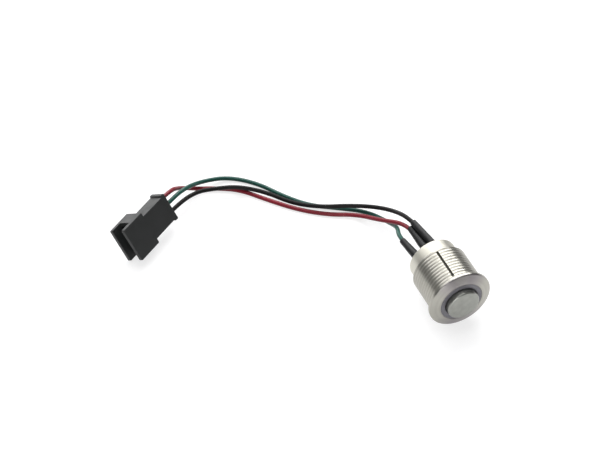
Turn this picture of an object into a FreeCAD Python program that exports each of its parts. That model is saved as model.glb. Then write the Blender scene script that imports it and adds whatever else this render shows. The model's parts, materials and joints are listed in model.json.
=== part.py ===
import FreeCAD, Part
import math
import os

from FreeCAD import Vector

# Short-bodied 16 mm vandal-resistant push button with a light ring, three leads and a 3-way connector.
# Millimetres. The button's axis is Y: the front faces -Y and the leads leave towards +Y.
# The origin is on the axis, at the flange's seat on the panel. The button lies on its side.

# Outside of the turned housing
flange_d = 18.0
flange_edge = 0.9
bezel_rise = 1.75
bezel_lip = 0.5
thread_d = 15.9
thread_l = 11.65
thread_chamfer = 0.4
body_l = 15.75
collar_wall = 0.6
edge_round = 0.25
cone_start = 0.8
sharp_edge = 0.1

# The key groove along the thread, and how far the button is rolled about its axis
key_w = 0.7
key_depth = 0.5
key_start = 1.1
key_end_land = 0.8
key_roll = 10.6

# Push cap and its stem
cap_d = 9.2
cap_rise = 1.65
cap_depth = 2.45
cap_edge = 0.55
cap_gap = 0.17
travel = 1.0
cap_skirt = 0.7
stem_fit = 0.04
stem_tail = 0.85
spigot_d = 2.0
spigot_l = 1.6
turned_edge = 0.15

# Light ring and its light guides
ring_w = 1.33
ring_t = 2.0
ring_fit = 0.02
guide_count = 4
guide_d = 1.1
guide_fit = 0.05
guide_out = 0.55
guide_sink = 0.1
bore_step = 0.1

# Web across the housing, with the spring pocket and the seal groove
web_t = 2.8
pocket_in_wall = 0.66
pocket_w = 1.2
pocket_depth = 1.4
seal_d = 0.68
seal_land = 0.3
seal_room = 0.04

# Return spring
spring_wire = 0.44
spring_turns = 3.5
spring_corners = 10
spring_seat_gap = 0.03
cap_pocket_depth = 1.0

# Retaining clip
clip_t = 0.5
clip_bite = 0.4
clip_mouth = 2.9
clip_room = 0.02

# Light board
spacer_w = 0.8
spacer_l = 1.55
spacer_side_room = 0.275
clip_side_room = 0.5
board_t = 0.8
board_hole_room = 0.3
chip_l = 1.6
chip_w = 0.9
chip_t = 0.6
inner_fit = 0.05

# Plunger and moving contacts
plunger_d = 5.4
plunger_l = 2.5
plunger_neck_d = 1.6
plunger_head_d = 2.3
plunger_head_l = 0.4
moulded_edge = 0.2
bridge_t = 0.4
bridge_w = 2.6
bridge_flat = 0.02
bridge_over = 0.8
bridge_end_room = 0.4
bridge_hole_room = 0.05
contact_d = 1.2
contact_h = 0.68
contact_crown = 0.1
contact_rest_gap = 0.02

# Contact block, fixed contacts and terminals
block_wall = 2.05
fixed_contact_h = 0.3
terminal_proud = 0.1
block_corner = 0.3
terminal_w = 0.8
terminal_t = 0.5
terminal_pad = 1.6
terminal_bar = 0.8
red_bar_depth = 2.0
prong_in_wall = 0.95
tail_w = 0.4
tail_proud = 0.2
lug_out = 2.45
potting_recess = 0.8
potting_t = 1.95

# Heat-shrink sleeves: the far end of each on the way to the leads
sleeve_wall = 0.26
sleeve_swell = 0.05
sleeve_side_room = 0.4
sleeve_tuck = 1.0
sleeve_root_l = 3.4
sleeve_taper_l = 5.6
sleeve_fit = 0.035
sleeve_ends = {
    "green": Vector(-3.9, 26.0, -1.25),
    "red": Vector(0.3, 29.6, -1.5),
    "black": Vector(1.25, 30.0, 0.1),
}
solder_d = 0.76
solder_lap = 0.75
solder_room = 0.4
solder_shoulder = 0.3
lead_overlap = 3.2
lead_straight = 2.1

# Leads
lead_d = 1.25
floor_z = -flange_d / 2

# Connector housing for the three leads
slot_pitch = 2.5
slot_w = 2.0
rear_w = 7.8
rear_l = 9.8
rear_t = 4.8
rear_lip_l = 1.3
rear_lip_out = 0.5
shroud_w = 10.5
shroud_l = 8.1
shroud_t = 6.2
shroud_wall = 1.2
shroud_floor = 1.6
side_notch = 3.6
latch_w = 3.4
latch_l = 2.2
latch_back = 1.8
latch_depth = 0.7
corner_round = 0.35
connector_low_corner = Vector(-73.5, 56.02, floor_z)
connector_turn = FreeCAD.Rotation(-146.0, 1.7, -58.6)

# Crimped pins in the connector
grip_start = 1.9
grip_wall = 0.25
lead_in = 3.4
barrel_l = 2.0
barrel_d = 1.6
crimp_step = 0.3
box_l = 4.5
box_fit = 0.05
pin_w = 0.64
pin_l = 5.7
exit_straight = 4.1

# Places along the axis, worked out from the sizes above
face_y = -bezel_rise
web_y = face_y + ring_t
web_rear = web_y + web_t
cap_y = face_y - cap_rise
cap_under = cap_y + cap_depth
stem_end = web_rear + clip_t + clip_room + stem_tail
board_y = web_rear + spacer_l
board_rear = board_y + board_t
plunger_end = stem_end + plunger_l
moving_face = plunger_end + bridge_t + contact_h
fixed_face = moving_face + travel + contact_rest_gap
block_floor = fixed_face + fixed_contact_h + terminal_proud
potting_y = body_l - potting_recess
block_end = potting_y - potting_t
lug_end = potting_y + lug_out

# Radii worked out from the sizes above
flange_r = flange_d / 2
thread_r = thread_d / 2
cap_r = cap_d / 2
ring_in = cap_r + cap_gap
ring_out = ring_in + ring_w - ring_fit
ring_seat_r = ring_out + ring_fit
guide_r = (ring_in + ring_out) / 2
pocket_out = cap_r - cap_skirt
pocket_in = pocket_out - pocket_w
stem_bore_r = pocket_in - pocket_in_wall
stem_r = stem_bore_r - stem_fit
spring_r = (pocket_in + pocket_out) / 2
inner_bore_r = ring_seat_r + bore_step
collar_r = inner_bore_r + collar_wall
inner_r = inner_bore_r - inner_fit
spacer_out = guide_r - guide_d / 2 - spacer_side_room
spacer_in = spacer_out - spacer_w
clip_r = spacer_in - clip_side_room
board_hole_r = clip_r + board_hole_room
block_cavity_r = inner_r - block_wall
terminal_pitch = block_cavity_r - bridge_over - bridge_end_room
prong_r = inner_r - prong_in_wall
sleeve_root_r = (terminal_pitch - sleeve_side_room) / 2
sleeve_root_bore_r = sleeve_root_r - sleeve_wall
lead_r = lead_d / 2

lead_routes = {
    "red": [
        (-51.5, 72.6, -3.9),
        (-47.2, 74.4, -7.6),
        (-41.4, 72.9, floor_z + lead_r),
        (-34.6, 69.3, floor_z + lead_r),
        (-28.9, 62.2, floor_z + lead_r),
        (-22.4, 55.0, floor_z + lead_r),
        (-15.4, 49.8, floor_z + lead_r),
        (-8.2, 46.4, -8.1),
        (-4.2, 39.2, -5.3),
    ],
    "green": [
        (-50.0, 71.2, -3.1),
        (-43.9, 75.4, -6.9),
        (-36.0, 75.6, floor_z + lead_r),
        (-29.1, 69.9, floor_z + lead_r),
        (-24.2, 61.9, floor_z + lead_r),
        (-18.9, 55.4, floor_z + lead_r),
        (-11.6, 51.0, floor_z + lead_r),
        (-4.8, 46.5, floor_z + lead_r),
        (-1.3, 38.4, -7.0),
        (-1.7, 33.2, -3.8),
    ],
    "black": [
        (-47.4, 70.8, -5.6),
        (-41.8, 70.8, -6.5),
        (-35.3, 69.1, -6.6),
        (-28.4, 64.9, -7.8),
        (-22.8, 57.5, -8.0),
        (-16.7, 51.7, -6.5),
        (-9.6, 49.2, -6.5),
        (-3.6, 45.6, -6.0),
        (-1.2, 39.0, -3.8),
    ],
}


def joined_edges(points, sizes, arcs, closed=False):
    """Straight edges joined at each point by a tangent arc of that radius, or by a bevel between its ends."""
    count = len(points)
    corners = []
    for i, point in enumerate(points):
        if sizes[i] == 0 or (not closed and i in (0, count - 1)):
            corners.append((point, None, point))
            continue
        back = (points[i - 1] - point).normalize()
        ahead = (points[(i + 1) % count] - point).normalize()
        half = back.getAngle(ahead) / 2
        reach = sizes[i] / math.tan(half)
        middle = point + (back + ahead).normalize() * (sizes[i] / math.sin(half) - sizes[i])
        corners.append((point + back * reach, middle, point + ahead * reach))
    edges = []
    for i, (start, middle, end) in enumerate(corners):
        if middle is not None:
            corner = Part.Arc(start, middle, end) if arcs[i] else Part.LineSegment(start, end)
            edges.append(corner.toShape())
        if i < count - 1 or closed:
            following = corners[(i + 1) % count][0]
            if end.distanceToPoint(following) > 1e-6:
                edges.append(Part.LineSegment(end, following).toShape())
    return edges


def corner_radii(points, share):
    """For each corner the arc that takes that share of the shorter of its two runs."""
    radii = [0]
    for before, corner, after in zip(points, points[1:], points[2:]):
        back, ahead = corner - before, after - corner
        shorter = min(back.Length, ahead.Length)
        radii.append(share * shorter / math.tan(back.getAngle(ahead) / 2))
    return radii + [0]


def outline(corners):
    """A flat face in the XY plane. A corner is (x, y), (x, y, bevel) or (x, y, radius, "arc")."""
    points = [Vector(corner[0], corner[1], 0) for corner in corners]
    sizes = [corner[2] if len(corner) > 2 else 0 for corner in corners]
    arcs = [len(corner) > 3 for corner in corners]
    return Part.Face(Part.Wire(joined_edges(points, sizes, arcs, closed=True)))


def turned(corners):
    """A body turned about the Y axis from its (radius, y) outline."""
    return outline(corners).revolve(Vector(0, 0, 0), Vector(0, 1, 0), 360)


def disc(radius, start, end, x=0, z=0):
    return Part.makeCylinder(radius, end - start, Vector(x, start, z), Vector(0, 1, 0))


def tube(outer, inner, start, end):
    return disc(outer, start, end).cut(disc(inner, start, end))


def around(shape, count, first=0):
    """Copies of a shape spaced evenly about the Y axis."""
    copies = []
    for i in range(count):
        copy = shape.copy()
        copy.rotate(Vector(0, 0, 0), Vector(0, 1, 0), first + i * 360 / count)
        copies.append(copy)
    return copies


def rolled(shape):
    """The shape turned with the button, so that its key lies off the top."""
    copy = shape.copy()
    copy.rotate(Vector(0, 0, 0), Vector(0, 1, 0), -key_roll)
    return copy


def guide_shape(radius, start, end):
    return around(disc(radius, start, end, x=guide_r), guide_count, 180 / guide_count)


def make_housing():
    seal_groove_end = web_rear - seal_land
    seal_groove_start = seal_groove_end - seal_d - seal_room
    seal_groove_r = stem_r + seal_d + seal_room
    body = turned([
        (ring_seat_r, face_y, sharp_edge),
        (ring_seat_r + bezel_lip, face_y, cone_start),
        (flange_r, -flange_edge, edge_round, "arc"),
        (flange_r, 0, edge_round / 2),
        (thread_r, 0),
        (thread_r, thread_l - thread_chamfer),
        (thread_r - thread_chamfer, thread_l),
        (collar_r, thread_l),
        (collar_r, body_l, edge_round),
        (inner_bore_r, body_l),
        (inner_bore_r, web_rear),
        (stem_bore_r, web_rear),
        (stem_bore_r, seal_groove_end),
        (seal_groove_r, seal_groove_end),
        (seal_groove_r, seal_groove_start),
        (stem_bore_r, seal_groove_start),
        (stem_bore_r, web_y),
        (pocket_in, web_y),
        (pocket_in, web_y + pocket_depth),
        (pocket_out, web_y + pocket_depth),
        (pocket_out, web_y),
        (ring_seat_r, web_y),
    ])
    for hole in guide_shape(guide_d / 2 + guide_fit, web_y, web_rear):
        body = body.cut(hole)
    key_l = thread_l - key_start - key_end_land
    key = Part.makeBox(key_w, key_l, 2 * key_depth, Vector(-key_w / 2, key_start, thread_r - key_depth))
    return rolled(body.cut(key))


def make_push_cap():
    groove_r = stem_r - clip_bite
    groove_end = web_rear + clip_t + clip_room
    return turned([
        (0, cap_y),
        (cap_r, cap_y, cap_edge, "arc"),
        (cap_r, cap_under, turned_edge),
        (pocket_out, cap_under),
        (pocket_out, cap_under - cap_pocket_depth),
        (stem_r, cap_under - cap_pocket_depth),
        (stem_r, web_rear),
        (groove_r, web_rear),
        (groove_r, groove_end),
        (stem_r, groove_end),
        (stem_r, stem_end, turned_edge),
        (spigot_d / 2, stem_end),
        (spigot_d / 2, stem_end + spigot_l, turned_edge),
        (0, stem_end + spigot_l),
    ])


def make_light_ring():
    ring = turned([
        (ring_in, face_y, sharp_edge),
        (ring_out, face_y, sharp_edge),
        (ring_out, web_y),
        (ring_in, web_y),
    ])
    guides = guide_shape(guide_d / 2, web_y - guide_sink, web_rear + guide_out)
    return rolled(ring.multiFuse(guides).removeSplitter())


def make_stem_seal():
    """A lathe-cut ring in its groove, with bevelled lips on the stem."""
    end = web_rear - seal_land - seal_room / 2
    inner = stem_r + seal_room / 2
    return turned([
        (inner, end - seal_d, seal_d / 4), (inner + seal_d, end - seal_d),
        (inner + seal_d, end), (inner, end, seal_d / 4),
    ])


def make_retaining_clip():
    inner = stem_r - clip_bite + clip_room
    clip = tube(clip_r, inner, web_rear, web_rear + clip_t)
    mouth = Part.makeBox(clip_mouth, clip_t, clip_r, Vector(-clip_mouth / 2, web_rear, -clip_r))
    clip = clip.cut(mouth)
    lobe_r = (clip_r - inner) / 3
    for lobe in around(disc(lobe_r, web_rear, web_rear + clip_t, z=inner + lobe_r / 2), 3, 60):
        clip = clip.cut(lobe)
    return clip.Solids[0]


def swept(points, radius, share=0.45):
    """A round bar along straight runs and tangent arcs, its length and the arcs' radii."""
    radii = corner_radii(points, share)
    path = Part.Wire(joined_edges(points, radii, [True] * len(points)))
    section = Part.Wire(Part.makeCircle(radius, points[0], points[1] - points[0]))
    return path.makePipeShell([section], True, True), path.Length, radii


def make_return_spring():
    start = cap_under - cap_pocket_depth + spring_wire / 2 + spring_seat_gap
    end = web_y + pocket_depth - spring_wire / 2 - spring_seat_gap
    corner_r = spring_r / math.cos(math.pi / spring_corners)
    steps = round(spring_turns * spring_corners)
    points = []
    for i in range(steps + 1):
        angle = 2 * math.pi * i / spring_corners
        along = start + (end - start) * i / steps
        points.append(Vector(corner_r * math.cos(angle), along, corner_r * math.sin(angle)))
    path = Part.makePolygon(points)
    section = Part.Wire(Part.makeCircle(spring_wire / 2, points[0], points[1] - points[0]))
    return path.makePipeShell([section], True, False, 1)


def make_spacer():
    return tube(spacer_out, spacer_in, web_rear, board_y)


def terminal_strip(corners):
    """A flat strip cut to its outline in the (x, y) plane, centred on that plane."""
    strip = outline(corners).extrude(Vector(0, 0, terminal_t))
    strip.translate(Vector(0, 0, -terminal_t / 2))
    return strip


def signal_terminal():
    x, half, pad = terminal_pitch, terminal_w / 2, terminal_pad / 2
    top = fixed_face + fixed_contact_h
    return terminal_strip([
        (x - pad, top), (x + pad, top),
        (x + pad, block_floor + terminal_bar), (x + half, block_floor + terminal_bar),
        (x + half, lug_end, half / 2), (x - half, lug_end, half / 2),
        (x - half, block_floor + terminal_bar), (x - pad, block_floor + terminal_bar),
    ])


def light_prong(bar_start, from_x):
    """The bar and prong that carry a terminal's circuit to the light board."""
    outer, inner = prong_r + terminal_w / 2, prong_r - terminal_w / 2
    tail_out, tail_in = prong_r + tail_w / 2, prong_r - tail_w / 2
    return terminal_strip([
        (from_x, bar_start), (inner, bar_start),
        (inner, board_rear), (tail_in, board_rear),
        (tail_in, board_y - tail_proud), (tail_out, board_y - tail_proud),
        (tail_out, board_rear), (outer, board_rear),
        (outer, bar_start + terminal_bar, terminal_bar / 2), (from_x, bar_start + terminal_bar),
    ])


def light_terminal():
    half = terminal_w / 2
    bar_start = block_floor + red_bar_depth
    lug = terminal_strip([
        (-half, bar_start), (half, bar_start), (half, lug_end, half / 2), (-half, lug_end, half / 2),
    ])
    strip = lug.fuse(light_prong(bar_start, 0)).removeSplitter()
    strip.rotate(Vector(0, 0, 0), Vector(0, 1, 0), -90)
    return strip


def make_terminals():
    signal = signal_terminal()
    common = signal.fuse(light_prong(block_floor + terminal_bar / 4, terminal_pitch)).removeSplitter()
    green = signal.mirror(Vector(0, 0, 0), Vector(1, 0, 0))
    return {"green": rolled(green), "red": rolled(light_terminal()), "black": rolled(common)}


def make_contact_block(terminals):
    block = turned([
        (block_cavity_r, board_rear), (inner_r, board_rear),
        (inner_r, block_end), (0, block_end),
        (0, block_floor), (block_cavity_r, block_floor, block_corner),
    ])
    return block.cut(terminals)


def make_light_board(terminals):
    return tube(inner_r, board_hole_r, board_y, board_rear).cut(terminals)


def make_light_chips():
    chip = Part.makeBox(chip_w, chip_t, chip_l, Vector(guide_r - chip_w / 2, board_y - chip_t, -chip_l / 2))
    lens_edges = [edge for edge in chip.Edges if edge.CenterOfMass.y < board_y - chip_t + 1e-6]
    chip = chip.makeChamfer(chip_t / 5, lens_edges)
    return [rolled(copy) for copy in around(chip, guide_count, 180 / guide_count)]


def make_plunger():
    neck_end = plunger_end + bridge_t
    spigot_r = spigot_d / 2
    return turned([
        (spigot_r + inner_fit / 2, stem_end),
        (plunger_d / 2, stem_end, moulded_edge),
        (plunger_d / 2, plunger_end, moulded_edge),
        (plunger_neck_d / 2, plunger_end),
        (plunger_neck_d / 2, neck_end),
        (plunger_head_d / 2, neck_end),
        (plunger_head_d / 2, neck_end + plunger_head_l, moulded_edge),
        (0, neck_end + plunger_head_l),
        (0, stem_end + spigot_l),
        (spigot_r + inner_fit / 2, stem_end + spigot_l),
    ])


def make_contact_bridge():
    half = terminal_pitch + bridge_over
    end = (bridge_w - bridge_flat) / 2
    bridge = outline([
        (-half, -bridge_w / 2, end), (half, -bridge_w / 2, end),
        (half, bridge_w / 2, end), (-half, bridge_w / 2, end),
    ]).extrude(Vector(0, 0, bridge_t))
    bridge.rotate(Vector(0, 0, 0), Vector(1, 0, 0), -90)
    bridge.translate(Vector(0, plunger_end, 0))
    hole = disc(plunger_neck_d / 2 + bridge_hole_room, plunger_end, plunger_end + bridge_t)
    return rolled(bridge.cut(hole))


def contact_button(x, seat, face):
    """A contact rivet's head on its seat, with a slightly crowned face."""
    step = (face - seat) / abs(face - seat)
    crown = contact_crown * step
    head = turned([
        (0, seat), (contact_d / 2, seat), (contact_d / 2, face - 2 * crown),
        (contact_d / 4, face), (0, face),
    ])
    head.translate(Vector(x, 0, 0))
    return rolled(head)


def make_contacts():
    contacts = {}
    for i, x in enumerate((-terminal_pitch, terminal_pitch)):
        contacts[f"moving_contact_{i + 1}"] = contact_button(x, plunger_end + bridge_t, moving_face)
        contacts[f"fixed_contact_{i + 1}"] = contact_button(x, fixed_face + fixed_contact_h, fixed_face)
    return contacts


def make_rear_potting(terminals):
    return disc(inner_r, block_end, potting_y).cut(terminals)


def root_point(lead):
    """Where a lead's terminal comes through the rear face, at the middle of its lug."""
    across = {"green": -1, "red": 0, "black": 1}[lead] * terminal_pitch
    turn = math.radians(key_roll)
    return Vector(across * math.cos(turn), potting_y, across * math.sin(turn))


def along_sleeve(lead):
    """The start of a sleeve's axis, its direction and its length."""
    start = root_point(lead)
    line = sleeve_ends[lead] - start
    return start, Vector(line).normalize(), line.Length


def placed_along(shape, start, direction):
    """A body that was turned about Y from y = 0, moved to a start point and direction."""
    copy = shape.copy()
    copy.Placement = FreeCAD.Placement(start, FreeCAD.Rotation(Vector(0, 1, 0), direction))
    return copy


def make_sleeve(lead, potting):
    start, direction, length = along_sleeve(lead)
    bore_r = lead_r + sleeve_fit
    grip_y = sleeve_root_l + sleeve_taper_l
    sleeve = turned([
        (sleeve_root_bore_r, -sleeve_tuck), (sleeve_root_r, -sleeve_tuck),
        (sleeve_root_r, sleeve_root_l), (bore_r + sleeve_wall + sleeve_swell, grip_y),
        (bore_r + sleeve_wall, length, sharp_edge), (bore_r, length),
        (bore_r, grip_y), (sleeve_root_bore_r, sleeve_root_l),
    ])
    sleeve = placed_along(sleeve, start, direction)
    behind = disc(inner_r, potting_y - 2 * sleeve_tuck, potting_y)
    return sleeve.cut(behind)


def make_solder_joint(lead, terminal):
    start, direction, length = along_sleeve(lead)
    tip = lug_out - solder_lap
    joint = turned([
        (0, tip), (sleeve_root_bore_r - solder_room, tip + solder_shoulder, sharp_edge),
        (solder_d / 2, sleeve_root_l),
        (solder_d / 2, length - lead_overlap), (0, length - lead_overlap),
    ])
    return placed_along(joint, start, direction).cut(terminal)


def connector_place():
    """The connector's placement, which stands its lowest corner on the floor."""
    low = Vector(rear_l + shroud_l, shroud_w, -shroud_t)
    return FreeCAD.Placement(connector_low_corner - connector_turn.multVec(low), connector_turn)


def slot_centre(lead):
    number = {"red": -1, "green": 0, "black": 1}[lead]
    return shroud_w / 2 + number * slot_pitch, -rear_t / 2


def plan_block(low_l, high_l, width, depth, corner):
    """A block of the connector, centred across it, with rounded corners in its plan."""
    side = (shroud_w - width) / 2
    block = outline([
        (low_l, side, corner, "arc"), (high_l, side, corner, "arc"),
        (high_l, side + width, corner, "arc"), (low_l, side + width, corner, "arc"),
    ]).extrude(Vector(0, 0, -depth))
    return block


def make_connector_housing():
    end_l = rear_l + shroud_l
    rear = plan_block(0, rear_l + 1, rear_w, rear_t, corner_round)
    lip = plan_block(0, rear_lip_l, rear_w + 2 * rear_lip_out, rear_t, corner_round)
    shroud = plan_block(rear_l, end_l, shroud_w, shroud_t, corner_round)
    long_edges = [edge for edge in shroud.Edges if edge.Length > shroud_l - 3 * corner_round
                  and abs(edge.tangentAt(edge.FirstParameter).x) > 0.99]
    shroud = shroud.makeChamfer(corner_round / 2, long_edges)
    body = rear.multiFuse([lip, shroud]).removeSplitter()
    inside_w = shroud_w - 2 * shroud_wall
    inside_t = shroud_t - 2 * shroud_wall
    floor_l = rear_l + shroud_floor
    low = shroud_wall - shroud_t
    mouth = Part.makeBox(end_l - floor_l, inside_w, inside_t, Vector(floor_l, shroud_wall, low))
    notch = Part.makeBox(side_notch, shroud_w, inside_t, Vector(end_l - side_notch, 0, low))
    latch = Part.makeBox(
        latch_l, latch_w, latch_depth,
        Vector(end_l - latch_back - latch_l, (shroud_w - latch_w) / 2, -shroud_t),
    )
    body = body.cut([mouth, notch, latch])
    for lead in sleeve_ends:
        across, depth = slot_centre(lead)
        body = body.cut(Part.makeBox(
            floor_l, slot_w, slot_w, Vector(0, across - slot_w / 2, depth - slot_w / 2)
        ))
    body.Placement = connector_place()
    return body


def make_crimp_pin(lead):
    """A crimped pin: grip round the lead, barrel, box and square pin."""
    across, depth = slot_centre(lead)
    centre = Vector(0, across, depth)
    along = Vector(1, 0, 0)
    grip_r = lead_r + sleeve_fit
    grip = Part.makeCylinder(grip_r + grip_wall, lead_in - grip_start, centre + along * grip_start, along)
    grip = grip.cut(Part.makeCylinder(grip_r, lead_in - grip_start, centre + along * grip_start, along))
    barrel = Part.makeCylinder(grip_r + grip_wall, crimp_step, centre + along * lead_in, along)
    neck = Part.makeCylinder(barrel_d / 2, barrel_l, centre + along * lead_in, along)
    box_start = lead_in + barrel_l
    box_w = slot_w - 2 * box_fit
    box = Part.makeBox(box_l, box_w, box_w, centre + Vector(box_start, -box_w / 2, -box_w / 2))
    pin_start = box_start + box_l
    pin = Part.makeBox(pin_l, pin_w, pin_w, centre + Vector(pin_start, -pin_w / 2, -pin_w / 2))
    tip_edges = [edge for edge in pin.Edges if edge.CenterOfMass.x > pin_start + pin_l - 1e-6]
    pin = pin.makeChamfer(pin_w / 3, tip_edges)
    crimp = grip.multiFuse([barrel, neck, box, pin]).removeSplitter()
    crimp.Placement = connector_place()
    return crimp


def lead_points(lead):
    """The lead's route: out of its crimped pin, along the floor and into its sleeve."""
    across, depth = slot_centre(lead)
    place = connector_place()
    inside = place.multVec(Vector(lead_in, across, depth))
    outside = place.multVec(Vector(-exit_straight, across, depth))
    start, direction, length = along_sleeve(lead)
    mouth = start + direction * (length + lead_straight)
    end = start + direction * (length - lead_overlap)
    route = [Vector(*point) for point in lead_routes[lead]]
    return [inside, outside] + route + [mouth, end]


def make_lead(lead):
    points = lead_points(lead)
    solid, length, radii = swept(points, lead_r)
    share = solid.Volume / (math.pi * lead_r ** 2 * length)
    print(lead, "lead: length", round(length, 1), "volume share", round(share, 4))
    print("  radii", [round(radius, 1) for radius in radii[1:-1]])
    print("  points", [tuple(round(value, 1) for value in point) for point in points])
    return solid


def make_parts():
    terminals = make_terminals()
    strips = list(terminals.values())
    potting = make_rear_potting(strips)
    parts = {
        "housing": make_housing(),
        "push_cap": make_push_cap(),
        "light_ring": make_light_ring(),
        "stem_seal": make_stem_seal(),
        "retaining_clip": rolled(make_retaining_clip()),
        "return_spring": make_return_spring(),
        "spacer": make_spacer(),
        "light_board": make_light_board(strips),
        "plunger": make_plunger(),
        "contact_bridge": make_contact_bridge(),
        "contact_block": make_contact_block(strips),
        "rear_potting": potting,
        "connector_housing": make_connector_housing(),
    }
    parts.update(make_contacts())
    for i, chip in enumerate(make_light_chips()):
        parts[f"light_chip_{i + 1}"] = chip
    for lead, terminal in terminals.items():
        parts[f"terminal_{lead}"] = terminal
        parts[f"sleeve_{lead}"] = make_sleeve(lead, potting)
        parts[f"solder_joint_{lead}"] = make_solder_joint(lead, terminal)
        parts[f"lead_{lead}"] = make_lead(lead)
        parts[f"crimp_pin_{lead}"] = make_crimp_pin(lead)
    return parts


os.makedirs("parts", exist_ok=True)
for name, shape in make_parts().items():
    if not shape.isValid():
        print("not valid:", name)
    print(name, len(shape.Solids), round(shape.Volume, 2))
    shape.exportStep(f"parts/{name}.step")
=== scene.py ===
import json
import math

import bmesh
import bpy
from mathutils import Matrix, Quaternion, Vector


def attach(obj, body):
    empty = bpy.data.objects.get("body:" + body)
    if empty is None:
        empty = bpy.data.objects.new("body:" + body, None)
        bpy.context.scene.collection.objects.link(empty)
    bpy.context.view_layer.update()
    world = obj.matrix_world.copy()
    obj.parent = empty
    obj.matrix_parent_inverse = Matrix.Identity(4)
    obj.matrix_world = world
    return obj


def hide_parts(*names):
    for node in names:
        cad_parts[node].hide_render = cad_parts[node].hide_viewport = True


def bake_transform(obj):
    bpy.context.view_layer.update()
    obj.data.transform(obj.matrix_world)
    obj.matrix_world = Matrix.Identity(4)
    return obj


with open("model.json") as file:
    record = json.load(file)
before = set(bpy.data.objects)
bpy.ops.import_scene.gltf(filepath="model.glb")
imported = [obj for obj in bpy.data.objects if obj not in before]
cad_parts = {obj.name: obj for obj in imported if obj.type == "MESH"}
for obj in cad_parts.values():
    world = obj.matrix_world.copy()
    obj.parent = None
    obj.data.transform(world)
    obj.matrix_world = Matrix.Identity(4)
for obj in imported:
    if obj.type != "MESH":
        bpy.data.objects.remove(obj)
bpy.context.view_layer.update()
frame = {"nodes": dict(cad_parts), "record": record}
nodes = frame["nodes"]

# Metres. The button's axis is Y, its front faces -Y, and its flange seats at y = 0.

mm = 0.001

# How far the button lies rolled about its axis, in degrees.
buttonRoll = 10.6


def report(stage):
    print("stage:", stage)


# The camera

cameraSetup = dict(
    target=(-0.03296, 0.02910, 0.01372),
    azimuth=-23.64,
    elevation=45.28,
    distance=0.5,
    lens=112.57,
    sensor=36.0,
    clipStart=0.01,
)


def placeCamera(setup):
    azimuth, elevation = math.radians(setup["azimuth"]), math.radians(setup["elevation"])
    back = Vector((
        math.sin(azimuth) * math.cos(elevation),
        -math.cos(azimuth) * math.cos(elevation),
        math.sin(elevation),
    ))
    data = bpy.data.cameras.new("camera")
    data.lens = setup["lens"]
    data.sensor_width = setup["sensor"]
    data.clip_start = setup["clipStart"]
    camera = bpy.data.objects.new("camera", data)
    camera.location = Vector(setup["target"]) + back * setup["distance"]
    camera.rotation_euler = back.to_track_quat("Z", "Y").to_euler()
    bpy.context.scene.collection.objects.link(camera)
    bpy.context.scene.camera = camera


placeCamera(cameraSetup)
report("camera")


# Material helpers

def addNode(tree, kind, **settings):
    node = tree.nodes.new(kind)
    for name, value in settings.items():
        setattr(node, name, value)
    return node


# A link where the value is another node's socket, and a plain value otherwise.
def feed(tree, socket, value):
    if isinstance(value, bpy.types.NodeSocket):
        tree.links.new(value, socket)
    else:
        socket.default_value = value


def maths(tree, operation, *values, clamp=False):
    node = addNode(tree, "ShaderNodeMath", operation=operation, use_clamp=clamp)
    for socket, value in zip(node.inputs, values):
        feed(tree, socket, value)
    return node.outputs[0]


def noise(tree, vector, scale, detail=3.0, roughness=0.5):
    node = addNode(tree, "ShaderNodeTexNoise")
    feed(tree, node.inputs["Vector"], vector)
    feed(tree, node.inputs["Scale"], scale)
    node.inputs["Detail"].default_value = detail
    node.inputs["Roughness"].default_value = roughness
    return node.outputs["Fac"]


# The value's range from low to high, laid out from start to end and held there.
def spread(tree, value, low, high, start=0.0, end=1.0):
    node = addNode(tree, "ShaderNodeMapRange", clamp=True)
    values = {"Value": value, "From Min": low, "From Max": high, "To Min": start, "To Max": end}
    for name, item in values.items():
        feed(tree, node.inputs[name], item)
    return node.outputs["Result"]


def scaled(colour, factor):
    return tuple(part * factor for part in colour)


def blendColours(tree, factor, first, second):
    node = addNode(tree, "ShaderNodeMix", data_type="RGBA")
    feed(tree, node.inputs[0], factor)
    for socket, value in zip((node.inputs[6], node.inputs[7]), (first, second)):
        feed(tree, socket, (*value, 1) if isinstance(value, tuple) else value)
    return node.outputs[2]


# A place's x, y and z, and its distance from the Y axis.
def axisParts(tree, place):
    parts = addNode(tree, "ShaderNodeSeparateXYZ")
    tree.links.new(place, parts.inputs[0])
    x, y, z = parts.outputs
    squares = maths(tree, "ADD", maths(tree, "MULTIPLY", x, x), maths(tree, "MULTIPLY", z, z))
    return x, y, z, maths(tree, "SQRT", squares)


def newGroup(name, inputs, outputs):
    tree = bpy.data.node_groups.new(name, "ShaderNodeTree")
    for label, kind in inputs:
        tree.interface.new_socket(name=label, in_out="INPUT", socket_type=kind)
    for label, kind in outputs:
        tree.interface.new_socket(name=label, in_out="OUTPUT", socket_type=kind)
    return tree, addNode(tree, "NodeGroupInput"), addNode(tree, "NodeGroupOutput")


# The scale of the broad bands and patches, as shares of the fine marks' scale.
effectShares = dict(bands=0.2, patches=0.06)


# Rings round the Y axis, as a lathe tool leaves them on faces and barrels.
def turningMarks():
    tree, given, result = newGroup(
        "turningMarks",
        [("Vector", "NodeSocketVector"), ("Scale", "NodeSocketFloat")],
        [("Marks", "NodeSocketFloat"), ("Bands", "NodeSocketFloat")],
    )
    _, y, _, radius = axisParts(tree, given.outputs["Vector"])
    rings = addNode(tree, "ShaderNodeCombineXYZ")
    tree.links.new(radius, rings.inputs[0])
    tree.links.new(y, rings.inputs[1])
    fine = noise(tree, rings.outputs[0], given.outputs["Scale"], detail=2.0, roughness=0.6)
    broadScale = maths(tree, "MULTIPLY", given.outputs["Scale"], effectShares["bands"])
    broad = noise(tree, rings.outputs[0], broadScale, detail=2.0)
    tree.links.new(fine, result.inputs["Marks"])
    tree.links.new(broad, result.inputs["Bands"])
    return tree


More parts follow.
